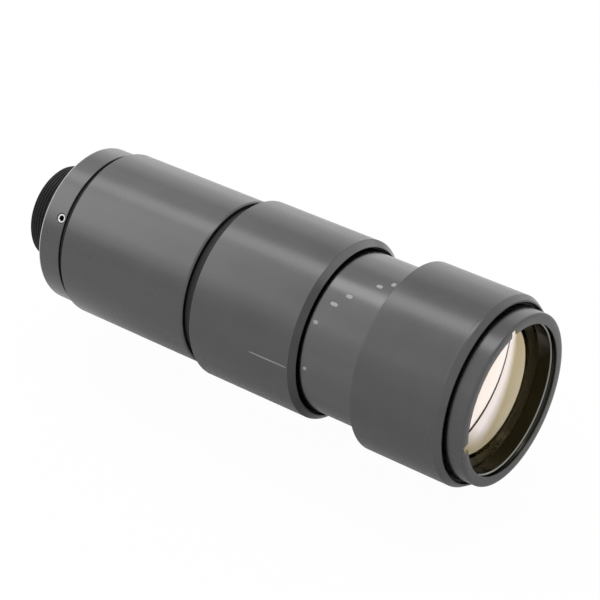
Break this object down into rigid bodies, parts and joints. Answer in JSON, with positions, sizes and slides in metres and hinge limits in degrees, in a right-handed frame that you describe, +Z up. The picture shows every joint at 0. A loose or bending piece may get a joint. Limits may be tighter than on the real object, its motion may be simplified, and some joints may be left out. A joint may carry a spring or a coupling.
{
  "type": "laser beam expander",
  "caption": "Long round beam expander with a threaded mounting neck, a turning rear barrel, a fixed middle barrel and a front barrel that turns and telescopes, with a coated objective.",
  "frame": {"origin": "on the optical axis at the rear shoulder of the end ring, where the mounting thread begins", "axes": "+X along the optical axis from the threaded neck to the objective, +Z up"},
  "size_m": [0.1662, 0.057, 0.057],
  "materials": {
    "grey_anodised": "satin grey anodised",
    "black_anodised": "matt black anodised",
    "black_acetal": "matt",
    "black_rubber": "matt",
    "stainless_steel": "bright turned",
    "brass": "turned",
    "coated_glass": "polished, gold anti-reflection coating",
    "clear_glass": "polished"
  },
  "bodies": {
    "housing": {"mounting_neck": "black_anodised", "end_ring": "grey_anodised", "neck_set_screws": "stainless_steel", "core_tube": "black_anodised", "guide_key": "stainless_steel", "rear_thrust_washer": "black_acetal", "stop_ring": "black_anodised", "middle_barrel": "grey_anodised", "middle_collar": "grey_anodised", "tube_wiper": "black_rubber"},
    "rear_barrel": {"rear_barrel": "grey_anodised"},
    "input_unit": {"input_cell": "black_anodised", "input_lens": "clear_glass", "input_lens_ring": "black_anodised", "input_drive_pins": "stainless_steel"},
    "objective_unit": {"objective_cell": "grey_anodised", "sleeve_baffle": "black_anodised", "flint_lens": "clear_glass", "crown_lens": "coated_glass", "objective_ring": "black_anodised"},
    "front_barrel": {"front_barrel": "grey_anodised", "cam_pins": "stainless_steel", "cell_thrust_washer": "brass", "front_collar": "grey_anodised", "front_seal": "black_rubber"}
  },
  "joints": [
    {"name": "rear_turn", "type": "hinge", "parent": "housing", "child": "rear_barrel", "pos_m": [0.033, 0, 0], "axis": [1, 0, 0], "range_deg": [-60, 60]},
    {"name": "input_travel", "type": "slide", "parent": "housing", "child": "input_unit", "axis": [1, 0, 0], "range_m": [-0.00201, 0.00201]},
    {"name": "objective_travel", "type": "slide", "parent": "housing", "child": "objective_unit", "axis": [1, 0, 0], "range_m": [-0.0147, 0]},
    {"name": "front_turn", "type": "hinge", "parent": "objective_unit", "child": "front_barrel", "pos_m": [0.13, 0, 0], "axis": [1, 0, 0], "range_deg": [0, 80]}
  ],
  "couplings": [
    {"joint": "input_travel", "follows": "rear_turn", "m_per_rad": 0.0019099},
    {"joint": "objective_travel", "follows": "front_turn", "m_per_rad": -0.010504}
  ]
}
